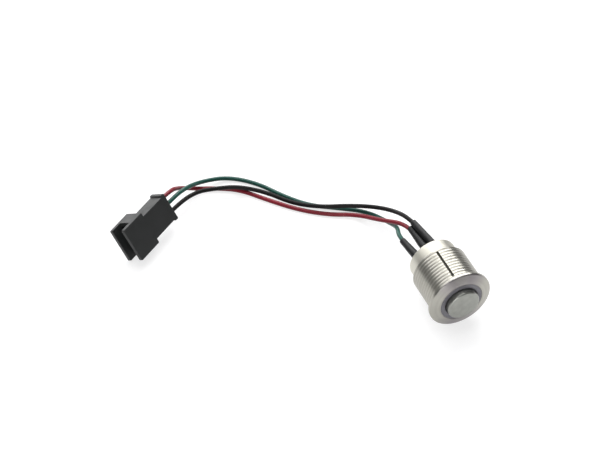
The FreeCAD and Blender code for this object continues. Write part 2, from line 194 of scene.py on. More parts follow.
# The fine texture of a moulding, and slow patches across it.
def mouldedGrain():
    tree, given, result = newGroup(
        "mouldedGrain",
        [("Vector", "NodeSocketVector"), ("Scale", "NodeSocketFloat")],
        [("Grain", "NodeSocketFloat"), ("Patches", "NodeSocketFloat")],
    )
    grain = noise(tree, given.outputs["Vector"], given.outputs["Scale"], roughness=0.6)
    patchScale = maths(tree, "MULTIPLY", given.outputs["Scale"], effectShares["patches"])
    patches = noise(tree, given.outputs["Vector"], patchScale, detail=2.0)
    tree.links.new(grain, result.inputs["Grain"])
    tree.links.new(patches, result.inputs["Patches"])
    return tree


sharedEffects = {"turning": turningMarks(), "grain": mouldedGrain()}


def useEffect(tree, effect, scale):
    coordinates = addNode(tree, "ShaderNodeTexCoord")
    group = addNode(tree, "ShaderNodeGroup", node_tree=sharedEffects[effect])
    tree.links.new(coordinates.outputs["Object"], group.inputs["Vector"])
    group.inputs["Scale"].default_value = scale
    return group.outputs[0], group.outputs[1]


# A principled material, with the given values set on its own sockets.
def newMaterial(name, **constants):
    material = bpy.data.materials.new(name)
    material.use_nodes = True
    tree = material.node_tree
    shader = tree.nodes["Principled BSDF"]
    for label, value in constants.items():
        shader.inputs[label.replace("_", " ")].default_value = value
    return material, tree, shader


def addBump(tree, shader, height, distance):
    bump = addNode(tree, "ShaderNodeBump")
    bump.inputs["Strength"].default_value = 1.0
    bump.inputs["Distance"].default_value = distance
    tree.links.new(height, bump.inputs["Height"])
    tree.links.new(bump.outputs["Normal"], shader.inputs["Normal"])


# The parts of a noise's range over which a tone or a roughness changes.
noiseRange = (0.3, 0.7)
patchRange = (0.35, 0.65)

# How dark a metal's darker bands are, and how far a plastic's patches change its roughness.
bandTone = 0.85
patchRoughness = 0.06


# Bare metal. marks is how far the tool marks change the roughness.
def metalFinish(name, colour, roughness, marks, scale=4000.0, depth=0.000004, effect="turning"):
    material, tree, shader = newMaterial(name, Metallic=1.0)
    fine, broad = useEffect(tree, effect, scale)
    tone = blendColours(tree, spread(tree, broad, *noiseRange), scaled(colour, bandTone), colour)
    tree.links.new(tone, shader.inputs["Base Color"])
    worn = spread(tree, fine, *noiseRange, roughness - marks, roughness + marks)
    tree.links.new(worn, shader.inputs["Roughness"])
    addBump(tree, shader, fine, depth)
    return material


# Moulded or extruded plastic, with a fine grain and slow changes of tone.
def plasticFinish(name, colour, roughness, scale=6000.0, depth=0.000005, variation=0.2, **constants):
    material, tree, shader = newMaterial(name, **constants)
    grain, patches = useEffect(tree, "grain", scale)
    tone = blendColours(tree, spread(tree, patches, *patchRange), colour, scaled(colour, 1 + variation))
    tree.links.new(tone, shader.inputs["Base Color"])
    worn = spread(tree, patches, *noiseRange, roughness - patchRoughness, roughness + patchRoughness)
    tree.links.new(worn, shader.inputs["Roughness"])
    addBump(tree, shader, grain, depth)
    return material


# The turned housing: its tool marks run round the axis. Its colour holds painted light: painted shade
# darkens the thread's roots and, more, the key groove; a painted reflection lays cooler, darker patches
# above and below the axis on its front face; and a painted highlight makes its collar lighter.
def threadFinish(name, looks, sizes):
    colour, recessShade, roughness, fade = (looks[key] for key in ("colour", "recessShade", "roughness", "fade"))
    material, tree, shader = newMaterial(
        name, Metallic=1.0, Anisotropic=looks["anisotropy"], Anisotropic_Rotation=looks["rotation"]
    )
    marks = addNode(tree, "ShaderNodeTangent", direction_type="RADIAL", axis="Y")
    tree.links.new(marks.outputs[0], shader.inputs["Tangent"])
    fine, broad = useEffect(tree, "turning", looks["marksScale"])
    coordinates = addNode(tree, "ShaderNodeTexCoord")
    _, y, z, radius = axisParts(tree, coordinates.outputs["Object"])

    rootR = sizes["threadR"] - sizes["threadDepth"]
    onBarrel = spread(tree, radius, sizes["collarR"], sizes["collarR"] + fade)
    onBarrel = maths(tree, "MULTIPLY", spread(tree, y, 0.0, fade), onBarrel)
    # Painted shade: the thread's roots are given the darker recess colour, standing in for the shade that
    # falls in the thread's hollows.
    inRoots = spread(tree, radius, rootR, sizes["threadR"] - looks["crestBand"], 1.0, 0.0)
    inRoots = maths(tree, "MULTIPLY", inRoots, onBarrel)
    # Painted shade: the key groove's floor is given a still darker colour, standing in for the shade inside
    # the slot.
    inKey = spread(tree, radius, *(rootR - depth for depth in looks["keyBand"]), 1.0, 0.0)
    inKey = maths(tree, "MULTIPLY", inKey, onBarrel)
    # Painted highlight: the collar behind the thread is given a lighter colour. Its higher roughness is its
    # own finish.
    onCollar = spread(tree, radius, *(sizes["collarR"] - depth for depth in looks["collarBand"]))
    pastThread = spread(tree, y, sizes["threadL"], sizes["threadL"] + fade)
    onCollar = maths(tree, "MULTIPLY", pastThread, onCollar)

    # Painted reflection: a cooler, darker fan above and below the axis on the front face, the way turned
    # metal reflects light, broken up by noise and fading out behind the face.
    sideways = maths(tree, "DIVIDE", maths(tree, "ABSOLUTE", z), radius)
    paintedFan = noise(tree, coordinates.outputs["Object"], looks["fanNoiseScale"], detail=1.0)
    paintedFan = spread(tree, paintedFan, *looks["fanNoiseRange"], looks["fanNoiseLeast"], 1.0)
    paintedFan = maths(tree, "MULTIPLY", paintedFan, spread(tree, sideways, *looks["fanSides"]))
    paintedFan = maths(tree, "MULTIPLY", paintedFan, spread(tree, y, *looks["fanFade"], 1.0, 0.0))
    fanShade = tuple(part * tint for part, tint in zip(colour, looks["fanShadeTint"]))

    tone = blendColours(tree, spread(tree, broad, *noiseRange), scaled(colour, looks["bandTone"]), colour)
    tone = blendColours(tree, paintedFan, tone, fanShade)
    tone = blendColours(tree, inRoots, tone, recessShade)
    tone = blendColours(tree, inKey, tone, scaled(recessShade, looks["keyShadeTone"]))
    tone = blendColours(tree, onCollar, tone, scaled(colour, looks["collarHighlightTone"]))
    tree.links.new(tone, shader.inputs["Base Color"])
    worn = spread(tree, fine, *noiseRange, roughness - looks["smoother"], roughness + looks["rougher"])
    for mask, rough in ((inRoots, "rootRough"), (onCollar, "collarRough"), (inKey, "keyRough")):
        worn = maths(tree, "ADD", worn, maths(tree, "MULTIPLY", mask, looks[rough]))
    tree.links.new(worn, shader.inputs["Roughness"])
    addBump(tree, shader, fine, looks["marksDepth"])
    return material


# Mesh helpers

mergeDistance = 1e-8


def newPiece(name, mesh, body, material, replaces):
    piece = bpy.data.objects.new(name, mesh)
    bpy.context.scene.collection.objects.link(piece)
    mesh.materials.clear()
    mesh.materials.append(material)
    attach(piece, body)
    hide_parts(*replaces)
    return piece


def meshFrom(name, vertices, faces, sharpAngle=40.0):
    mesh = bpy.data.meshes.new(name)
    mesh.from_pydata(vertices, [], faces)
    return softened(mesh, sharpAngle)


# Doubles merged, normals outward, and smooth shading but for edges sharper than the angle.
def softened(mesh, sharpAngle=40.0):
    work = bmesh.new()
    work.from_mesh(mesh)
    bmesh.ops.remove_doubles(work, verts=work.verts, dist=mergeDistance)
    bmesh.ops.recalc_face_normals(work, faces=work.faces)
    for face in work.faces:
        face.smooth = True
    for edge in work.edges:
        edge.smooth = edge.is_boundary or edge.calc_face_angle(0) < math.radians(sharpAngle)
    work.to_mesh(mesh)
    work.free()
    return mesh


# A closed outline whose corners (a, b, radius) are rounded in the given steps. Those without a radius stay.
def rounded(corners, steps=4):
    points = []
    for i, corner in enumerate(corners):
        here = Vector(corner[:2])
        radius = corner[2] if len(corner) > 2 else 0
        if radius == 0:
            points.append(tuple(here))
            continue
        before = (Vector(corners[i - 1][:2]) - here).normalized()
        after = (Vector(corners[(i + 1) % len(corners)][:2]) - here).normalized()
        half = before.angle(after) / 2
        centre = here + (before + after).normalized() * radius / math.sin(half)
        start = here + before * radius / math.tan(half) - centre
        end = here + after * radius / math.tan(half) - centre
        turn = start.angle_signed(end)
        for k in range(steps + 1):
            angle = -turn * k / steps
            points.append((
                centre.x + start.x * math.cos(angle) - start.y * math.sin(angle),
                centre.y + start.x * math.sin(angle) + start.y * math.cos(angle),
            ))
    return points


# A closed (radius, y) outline turned about the Y axis, with a vertex at each angle.
def lathe(name, outline, angles):
    count, turns = len(outline), len(angles)
    vertices = [
        (radius * math.cos(angle), y, radius * math.sin(angle)) for angle in angles for radius, y in outline
    ]
    faces = []
    for j in range(turns):
        for i in range(count):
            a, b = j * count + i, j * count + (i + 1) % count
            c, d = (j + 1) % turns * count + (i + 1) % count, (j + 1) % turns * count + i
            faces.append((a, b, c, d))
    return meshFrom(name, vertices, faces)


def evenAngles(count):
    return [2 * math.pi * i / count for i in range(count)]


# Finishes

housingLooks = dict(
    colour=(0.405, 0.395, 0.355),
    # Painted shade: the darker colour given to the thread's roots, and, darker still, to the key groove.
    recessShade=(0.34, 0.325, 0.285),
    roughness=0.32,
    smoother=0.05,
    rougher=0.07,
    anisotropy=0.7,
    rotation=0.25,
    marksScale=4000.0,
    marksDepth=0.000003,
    bandTone=0.86,
    fade=0.2 * mm,
    crestBand=0.05 * mm,
    rootRough=0.15,
    keyBand=(0.12 * mm, 0.04 * mm),
    # Painted shade: how dark the key groove is painted, as a share of the roots' colour.
    keyShadeTone=0.35,
    keyRough=0.4,
    collarBand=(0.3 * mm, 0.1 * mm),
    # Painted highlight: how much lighter the collar is painted.
    collarHighlightTone=1.6,
    collarRough=0.24,
    # Painted reflection: the noise scale, noise range, least strength, place, fade and tint of the darker
    # fan painted on the front face.
    fanNoiseScale=170.0,
    fanNoiseRange=(0.3, 0.6),
    fanNoiseLeast=0.6,
    fanSides=(0.5, 0.95),
    fanFade=(-0.8 * mm, -0.4 * mm),
    fanShadeTint=(0.62, 0.59, 0.68),
)
housingSizes = dict(
    flangeR=9.0 * mm,
    flangeEdge=0.9 * mm,
    bezelRise=1.75 * mm,
    bezelLip=0.5 * mm,
    seatRound=0.08 * mm,
    bezelRound=1.0 * mm,
    flangeRound=0.4 * mm,
    flangeRearRound=0.12 * mm,
    flangeSteps=5,
    ringSeatR=6.10 * mm,
    threadR=7.95 * mm,
    threadL=11.65 * mm,
    threadPitch=1.0 * mm,
    threadDepth=0.1 * mm,
    threadStart=0.35 * mm,
    threadChamfer=0.4 * mm,
    rowsPerTurn=14,
    columns=300,
    collarR=6.8 * mm,
    collarRound=0.28 * mm,
    bodyL=15.75 * mm,
    boreR=6.2 * mm,
    boreRound=0.08 * mm,
    webY=0.25 * mm,
    webRear=3.05 * mm,
    stemBoreR=2.04 * mm,
    pocketIn=2.70 * mm,
    pocketOut=3.90 * mm,
    pocketDepth=1.4 * mm,
    keyW=0.62 * mm,
    keyEdge=0.04 * mm,
    keyDepth=0.5 * mm,
    keyStart=1.1 * mm,
    keyEnd=10.85 * mm,
)

finishes = {
    "turned_metal": threadFinish("turnedMetal", housingLooks, housingSizes),
    "cap_metal": metalFinish(
        "capMetal", (0.32, 0.325, 0.3), 0.36, marks=0.05, scale=9000.0, depth=0.000003, effect="grain"
    ),
    "spring_steel": metalFinish("springSteel", (0.45, 0.45, 0.46), 0.28, marks=0.06),
    "contact_silver": metalFinish("contactSilver", (0.72, 0.71, 0.68), 0.22, marks=0.05),
    "terminal_brass": metalFinish(
        "terminalBrass", (0.62, 0.47, 0.20), 0.3, marks=0.06, scale=3000.0, effect="grain"
    ),
    "solder": metalFinish(
        "solderJoint", (0.52, 0.53, 0.55), 0.24, marks=0.08, scale=2500.0, effect="grain"
    ),
    "tinned_pin": metalFinish(
        "tinnedPin", (0.60, 0.59, 0.56), 0.25, marks=0.06, scale=3000.0, effect="grain"
    ),
    "light_ring": plasticFinish(
        "smokyRing", (0.165, 0.16, 0.18), 0.32, scale=3000.0, depth=0.000002, variation=0.3
    ),
    "seal_rubber": plasticFinish("sealRubber", (0.02, 0.02, 0.02), 0.7),
    "natural_nylon": plasticFinish(
        "naturalNylon", (0.62, 0.58, 0.48), 0.4, scale=4000.0, depth=0.000003, variation=0.1
    ),
    "moulded_black": plasticFinish("mouldedBlack", (0.02, 0.02, 0.021), 0.42),
    "board_green": plasticFinish(
        "boardGreen", (0.012, 0.09, 0.04), 0.3, scale=5000.0, depth=0.000003, variation=0.25
    ),
    "chip_body": plasticFinish(
        "chipBody", (0.75, 0.72, 0.6), 0.2, scale=5000.0, depth=0.000002, variation=0.1
    ),
    "potting": plasticFinish(
        "castResin", (0.012, 0.012, 0.013), 0.22, scale=2000.0, depth=0.000004, variation=0.3
    ),
    "shrink_sleeve": plasticFinish(
        "shrinkSleeve", (0.006, 0.006, 0.0065), 0.42,
        scale=2600.0, depth=0.00001, variation=0.3, Specular_IOR_Level=0.22,
    ),
    "lead_red": plasticFinish(
        "leadRed", (0.17, 0.007, 0.016), 0.33,
        scale=2200.0, depth=0.000003, Specular_IOR_Level=0.3,
    ),
    "lead_green": plasticFinish(
        "leadGreen", (0.005, 0.06, 0.045), 0.33,
        scale=2200.0, depth=0.000003, Specular_IOR_Level=0.3,
    ),
    "lead_black": plasticFinish(
        "leadBlack", (0.006, 0.0052, 0.0054), 0.42,
        scale=2200.0, depth=0.000003, variation=0.3, Specular_IOR_Level=0.14,
    ),
    "connector_black": plasticFinish(
        "connectorBlack", (0.0125, 0.0135, 0.0138), 0.5,
        scale=5200.0, depth=0.000008, variation=0.25, Specular_IOR_Level=0.4,
    ),
}
for part in frame["record"]["subparts"]:
    mesh = nodes[part["node"]].data
    mesh.materials.clear()
    mesh.materials.append(finishes[part["material_slot"]])
report("materials")


# The leads. A route's points are control points in mm, from the crimped pin to inside the sleeve.

leadDiameter = 1.25 * mm
leadMesh = dict(order=3, resolution=12, bevelSteps=6)
leadFloor = -8.375
leadPieces = {
    "green": dict(
        length=98.7,
        sleeveEnd=(-3.9, 26.0, -1.25),
        across=-1,
        route=[
            (-61.4, 63.6, -2.1), (-55.1, 67.8, -1.9), (-50.0, 71.2, -3.1), (-43.9, 75.4, -6.9),
            (-36.0, 75.6, leadFloor), (-29.1, 69.9, leadFloor), (-24.2, 61.9, leadFloor),
            (-18.9, 55.4, leadFloor), (-11.6, 51.0, leadFloor), (-4.8, 46.5, leadFloor),
            (-1.3, 38.4, -7.0), (-1.7, 33.2, -3.8), (-4.1, 28.1, -1.4), (-3.6, 22.8, -1.0),
        ],
    ),
    "red": dict(
        length=92.1,
        sleeveEnd=(0.3, 29.6, -1.5),
        across=0,
        route=[
            (-62.1, 64.6, 0.0), (-55.9, 68.8, 0.2), (-51.5, 72.6, -3.9), (-47.2, 74.4, -7.6),
            (-41.4, 72.9, leadFloor), (-34.6, 69.3, leadFloor), (-28.9, 62.2, leadFloor),
            (-22.4, 55.0, leadFloor), (-15.4, 49.8, leadFloor), (-8.2, 46.4, -8.1),
            (-4.2, 39.2, -5.3), (0.3, 31.7, -1.7), (0.2, 26.4, -1.2),
        ],
    ),
    "black": dict(
        length=88.6,
        sleeveEnd=(1.25, 30.0, 0.1),
        across=1,
        route=[
            (-60.6, 62.6, -4.2), (-54.4, 66.7, -4.0), (-47.4, 70.8, -5.6), (-41.8, 70.8, -6.5),
            (-35.3, 69.1, -6.6), (-28.4, 64.9, -7.8), (-22.8, 57.5, -8.0), (-16.7, 51.7, -6.5),
            (-9.6, 49.2, -6.5), (-3.6, 45.6, -6.0), (-0.3, 39.3, -3.1), (1.0, 32.1, 0.0), (1.6, 26.8, 0.2),
        ],
    ),
}


def makeLead(colour, facts):
    curve = bpy.data.curves.new(f"lead{colour.capitalize()}Curve", "CURVE")
    curve.dimensions = "3D"
    spline = curve.splines.new("NURBS")
    spline.points.add(len(facts["route"]) - 1)
    for point, place in zip(spline.points, facts["route"]):
        point.co = (*(value * mm for value in place), 1)
    spline.order_u = leadMesh["order"]
    spline.use_endpoint_u = True
    spline.use_smooth = True
    curve.resolution_u = leadMesh["resolution"]
    curve.bevel_depth = leadDiameter / 2
    curve.bevel_resolution = leadMesh["bevelSteps"]
    curve.use_fill_caps = True
    curve.materials.append(finishes[f"lead_{colour}"])
    piece = bpy.data.objects.new(f"insulated_lead_{colour}", curve)
    bpy.context.scene.collection.objects.link(piece)
    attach(piece, "body")
    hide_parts(f"lead_{colour}")


for colour, facts in leadPieces.items():
    makeLead(colour, facts)
report("leads")


# The turned housing with its thread

# The heights of the rows along the barrel, from the flange's seat to the chamfer.
def gridRows(sizes):
    height = sizes["threadL"] - sizes["threadChamfer"]
    count = round(height / sizes["threadPitch"] * sizes["rowsPerTurn"])
    return [height * i / count for i in range(1, count)]


def housingOutline(s):
    front = rounded([
        (s["ringSeatR"], s["webY"]),
        (s["ringSeatR"], -s["bezelRise"], s["seatRound"]),
        (s["ringSeatR"] + s["bezelLip"], -s["bezelRise"], s["bezelRound"]),
        (s["flangeR"], -s["flangeEdge"], s["flangeRound"]),
        (s["flangeR"], 0.0, s["flangeRearRound"]),
        (s["threadR"], 0.0),
    ], s["flangeSteps"])
    barrel = [(s["threadR"], y) for y in gridRows(s)]
    rear = rounded([
        (s["threadR"], s["threadL"] - s["threadChamfer"]),
        (s["threadR"] - s["threadChamfer"], s["threadL"]),
        (s["collarR"], s["threadL"]),
        (s["collarR"], s["bodyL"], s["collarRound"]),
        (s["boreR"], s["bodyL"], s["boreRound"]),
        (s["boreR"], s["webRear"]),
        (s["stemBoreR"], s["webRear"]),
        (s["stemBoreR"], s["webY"]),
        (s["pocketIn"], s["webY"]),
        (s["pocketIn"], s["webY"] + s["pocketDepth"]),
        (s["pocketOut"], s["webY"] + s["pocketDepth"]),
        (s["pocketOut"], s["webY"]),
    ])
    return front + barrel + rear


# Even steps round the housing, and closer ones at the key groove's edges.
def housingAngles(s):
    angles = evenAngles(s["columns"])
    key = math.pi / 2 + math.radians(buttonRoll)
    half = s["keyW"] / 2 / s["threadR"]
    edge = s["keyEdge"] / s["threadR"]
    angles += [key + side * (half + shift) for side in (-1, 1) for shift in (-edge, edge)]
    return sorted(angles)


# A geometry tree with a mesh and a material going in, and the given inputs (label, kind) between them.
def newShapeTree(name, inputs):
    tree = bpy.data.node_groups.new(name, "GeometryNodeTree")
    inputs = [("Geometry", "NodeSocketGeometry"), *inputs, ("Material", "NodeSocketMaterial")]
    for label, kind in inputs:
        tree.interface.new_socket(name=label, in_out="INPUT", socket_type=kind)
    tree.interface.new_socket(name="Geometry", in_out="OUTPUT", socket_type="NodeSocketGeometry")
    return tree, addNode(tree, "NodeGroupInput").outputs, addNode(tree, "NodeGroupOutput")


# The flank's start and end in pitches from the middle of a crest, how softly it meets the root, and how far
# from the crest's radius a point still counts as the barrel's, in metres.
threadShape = dict(flank=(0.17, 0.45), rootSmoothing=0.1, crestTolerance=0.00002)


# Cuts a helical thread and a key groove into whatever barrel stands on the Y axis.
def threadCutter(shape):
    labels = (
        "Pitch", "Depth", "Crest Radius", "Start", "End", "Run-out",
        "Key Angle", "Key Width", "Key Depth", "Key Start", "Key End",
    )
    tree, size, result = newShapeTree("threadCutter", [(label, "NodeSocketFloat") for label in labels])
    place = addNode(tree, "GeometryNodeInputPosition")
    x, y, z, radius = axisParts(tree, place.outputs[0])
    angle = maths(tree, "ARCTAN2", z, x)

    rise = maths(tree, "DIVIDE", y, size["Pitch"])
    turns = maths(tree, "ADD", rise, maths(tree, "DIVIDE", angle, 2 * math.pi))
    wave = maths(tree, "ABSOLUTE", maths(tree, "SUBTRACT", maths(tree, "FRACT", turns), 0.5))
    flank = maths(tree, "SMOOTH_MIN", spread(tree, wave, *shape["flank"]), 1.0, shape["rootSmoothing"])
    fadeIn = spread(tree, y, size["Start"], maths(tree, "ADD", size["Start"], size["Run-out"]))
    fadeOut = spread(tree, y, maths(tree, "SUBTRACT", size["End"], size["Run-out"]), size["End"], 1.0, 0.0)
    onBarrel = maths(tree, "COMPARE", radius, size["Crest Radius"], shape["crestTolerance"])
    cut = maths(tree, "MULTIPLY", flank, maths(tree, "MULTIPLY", fadeIn, fadeOut))
    cut = maths(tree, "MULTIPLY", cut, maths(tree, "MULTIPLY", size["Depth"], onBarrel))

    fromKey = maths(tree, "ABSOLUTE", maths(tree, "SUBTRACT", angle, size["Key Angle"]))
    offset = maths(tree, "MULTIPLY", fromKey, size["Crest Radius"])
    inWidth = maths(tree, "LESS_THAN", offset, maths(tree, "MULTIPLY", size["Key Width"], 0.5))
    pastStart = maths(tree, "GREATER_THAN", y, size["Key Start"])
    inLength = maths(tree, "MULTIPLY", pastStart, maths(tree, "LESS_THAN", y, size["Key End"]))
    keyCut = maths(tree, "MULTIPLY", maths(tree, "MULTIPLY", inWidth, inLength), size["Key Depth"])
    cut = maths(tree, "MAXIMUM", cut, maths(tree, "MULTIPLY", keyCut, onBarrel))

    scale = maths(tree, "DIVIDE", maths(tree, "SUBTRACT", radius, cut), radius)
    moved = addNode(tree, "ShaderNodeCombineXYZ")
    movedParts = (maths(tree, "MULTIPLY", x, scale), y, maths(tree, "MULTIPLY", z, scale))
    for socket, value in zip(moved.inputs, movedParts):
        tree.links.new(value, socket)
    setPosition = addNode(tree, "GeometryNodeSetPosition")
    tree.links.new(size["Geometry"], setPosition.inputs["Geometry"])
    tree.links.new(moved.outputs[0], setPosition.inputs["Position"])
    finishTree(tree, setPosition.outputs[0], size["Material"], result)
    return tree


# Ends a shape tree in real geometry with its material set.
def finishTree(tree, geometry, material, result):
    realize = addNode(tree, "GeometryNodeRealizeInstances")
    setMaterial = addNode(tree, "GeometryNodeSetMaterial")
    tree.links.new(geometry, realize.inputs[0])
    tree.links.new(realize.outputs[0], setMaterial.inputs["Geometry"])
    tree.links.new(material, setMaterial.inputs["Material"])
    tree.links.new(setMaterial.outputs[0], result.inputs[0])


# The plain mesh that a shape tree makes of a mesh, with its inputs set by label.
def grown(name, mesh, tree, settings):
    host = bpy.data.objects.new(name + "Host", mesh)
    bpy.context.scene.collection.objects.link(host)
    modifier = host.modifiers.new("tree", "NODES")
    modifier.node_group = tree
    inputs = [item for item in tree.interface.items_tree if item.in_out == "INPUT"]
    sockets = {item.name: item.identifier for item in inputs}
    for label, value in settings.items():
        modifier[sockets[label]] = value
    bpy.context.view_layer.update()
    evaluated = host.evaluated_get(bpy.context.evaluated_depsgraph_get())
    made = bpy.data.meshes.new_from_object(evaluated)
    made.name = name
    bpy.data.objects.remove(host)
    return made


# The thread's own edges are smoothed over, and the housing's corners aren't.
threadSharpAngle = 50.0


def makeHousing(s):
    blank = lathe("housingBlank", housingOutline(s), housingAngles(s))
    mesh = grown("housingMesh", blank, threadCutter(threadShape), {
        "Pitch": s["threadPitch"],
        "Depth": s["threadDepth"],
        "Crest Radius": s["threadR"],
        "Start": s["threadStart"],
        "End": s["threadL"] + s["threadPitch"],
        "Run-out": s["threadPitch"] / 4,
        "Key Angle": math.pi / 2 + math.radians(buttonRoll),
        "Key Width": s["keyW"],
        "Key Depth": s["keyDepth"],
        "Key Start": s["keyStart"],
        "Key End": s["keyEnd"],
        "Material": finishes["turned_metal"],
    })
    softened(mesh, threadSharpAngle)
    newPiece("turned_housing", mesh, "body", finishes["turned_metal"], ["housing"])


makeHousing(housingSizes)
report("housing")


# The push cap

capSizes = dict(
    faceY=-3.4 * mm,
    radius=4.6 * mm,
    edge=0.5 * mm,
    under=-0.95 * mm,
    pocketOut=3.90 * mm,
    pocketDepth=1.0 * mm,
    stemR=2.0 * mm,
    stemEnd=4.42 * mm,
    spigotR=1.0 * mm,
    spigotEnd=6.02 * mm,
    clipGroove=(3.05 * mm, 3.57 * mm),
    clipGrooveR=1.6 * mm,
    crown=0.06 * mm,
    halfwayCrown=0.2,
    smallRound=0.12 * mm,
    steps=8,
    columns=160,
)


def makeCap(s):
    outline = rounded([
        (0.0, s["faceY"]),
        (s["radius"] / 2, s["faceY"] + s["crown"] * s["halfwayCrown"]),
        (s["radius"], s["faceY"] + s["crown"], s["edge"]),
        (s["radius"], s["under"], s["smallRound"]),
        (s["pocketOut"], s["under"]),
        (s["pocketOut"], s["under"] - s["pocketDepth"]),
        (s["stemR"], s["under"] - s["pocketDepth"]),
        (s["stemR"], s["clipGroove"][0]),
        (s["clipGrooveR"], s["clipGroove"][0]),
        (s["clipGrooveR"], s["clipGroove"][1]),
        (s["stemR"], s["clipGroove"][1]),
        (s["stemR"], s["stemEnd"], s["smallRound"]),
        (s["spigotR"], s["stemEnd"]),
        (s["spigotR"], s["spigotEnd"], s["smallRound"]),
        (0.0, s["spigotEnd"]),
    ], s["steps"])
    mesh = lathe("capMesh", outline, evenAngles(s["columns"]))
    newPiece("round_cap", mesh, "button", finishes["cap_metal"], ["push_cap"])


makeCap(capSizes)
report("cap")


# The return spring, its rear in the web's pocket.


def makeSpring():
    piece = bpy.data.objects.new("coil_spring", nodes["return_spring"].data.copy())
    bpy.context.scene.collection.objects.link(piece)
    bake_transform(piece)
    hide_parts("return_spring")


makeSpring()
report("spring")


# The light ring and its guides

ringSizes = dict(
    inner=4.77 * mm,
    outer=6.08 * mm,
    faceY=-1.75 * mm,
    seatY=0.25 * mm,
    edge=0.12 * mm,
    guideCount=4,
    guideR=0.55 * mm,
    guideStart=0.15 * mm,
    guideEnd=3.6 * mm,
    guideSides=32,
    columns=160,
)


# Round light guides set evenly on a circle about the Y axis, joined to the ring in front of them.
def guideTree():
    counts = [(label, "NodeSocketInt") for label in ("Count", "Sides")]
    labels = ("Circle Radius", "Guide Radius", "Start", "End", "Turn")
    lengths = [(label, "NodeSocketFloat") for label in labels]
    tree, size, result = newShapeTree("lightGuides", counts + lengths)
    circle = addNode(tree, "GeometryNodeMeshCircle")
    tree.links.new(size["Count"], circle.inputs["Vertices"])
    tree.links.new(size["Circle Radius"], circle.inputs["Radius"])
    guide = addNode(tree, "GeometryNodeMeshCylinder")
    tree.links.new(size["Sides"], guide.inputs["Vertices"])
    tree.links.new(size["Guide Radius"], guide.inputs["Radius"])
    tree.links.new(maths(tree, "SUBTRACT", size["End"], size["Start"]), guide.inputs["Depth"])
    instances = addNode(tree, "GeometryNodeInstanceOnPoints")
    tree.links.new(circle.outputs["Mesh"], instances.inputs["Points"])
    tree.links.new(guide.outputs["Mesh"], instances.inputs["Instance"])
    stand = addNode(tree, "GeometryNodeTransform")
    middle = addNode(tree, "ShaderNodeCombineXYZ")
    ends = maths(tree, "ADD", size["Start"], size["End"])
    tree.links.new(maths(tree, "MULTIPLY", ends, 0.5), middle.inputs[1])
    turn = addNode(tree, "ShaderNodeCombineXYZ")
    turn.inputs[0].default_value = math.pi / 2
    tree.links.new(size["Turn"], turn.inputs[1])
    tree.links.new(instances.outputs[0], stand.inputs["Geometry"])
    tree.links.new(middle.outputs[0], stand.inputs["Translation"])
    tree.links.new(turn.outputs[0], stand.inputs["Rotation"])
    join = addNode(tree, "GeometryNodeJoinGeometry")
    tree.links.new(stand.outputs[0], join.inputs[0])
    tree.links.new(size["Geometry"], join.inputs[0])
    finishTree(tree, join.outputs[0], size["Material"], result)
    return tree


def makeRing(s):
    outline = rounded([
        (s["inner"], s["faceY"], s["edge"]),
        (s["outer"], s["faceY"], s["edge"]),
        (s["outer"], s["seatY"]),
        (s["inner"], s["seatY"]),
    ])
    ring = lathe("ringBlank", outline, evenAngles(s["columns"]))
    mesh = grown("ringMesh", ring, guideTree(), {
        "Count": s["guideCount"],
        "Sides": s["guideSides"],
        "Circle Radius": (s["inner"] + s["outer"]) / 2,
        "Guide Radius": s["guideR"],
        "Start": s["guideStart"],
        "End": s["guideEnd"],
        "Turn": math.pi / s["guideCount"] - math.radians(buttonRoll),
        "Material": finishes["light_ring"],
    })
    softened(mesh)
    newPiece("smoky_ring", mesh, "body", finishes["light_ring"], ["light_ring"])


makeRing(ringSizes)
report("light ring")


# The heat-shrink sleeves

sleeveSizes = dict(
    rootY=14.95 * mm,
    pitch=2.9 * mm,
    wall=0.26 * mm,
    lip=0.08 * mm,
    lipShare=0.3,
    boreShare=0.8,
    rootR=1.25 * mm,
    rootL=3.4 * mm,
    endR=0.92 * mm,
    taper=0.8,
    ripple=0.015 * mm,
    longWave=0.9 * mm,
    shortWave=0.43 * mm,
    shortShare=0.6,
    seedStep=1.7,
    sharpAngle=60.0,
    around=40,
    along=56,
)


# The shrunk tube's radius: full over the solder joint, close on the lead, slightly uneven.
def sleeveRadius(s, distance, length, angle, seed):
    along = max(0.0, distance - s["rootL"]) / (length - s["rootL"])
    radius = s["rootR"] + (s["endR"] - s["rootR"]) * along ** s["taper"]
    wave = math.sin(distance / s["longWave"] + seed) * math.cos(2 * angle + seed)
    wave += s["shortShare"] * math.sin(distance / s["shortWave"] + 3 * angle + 2 * seed)
    return radius + s["ripple"] * wave


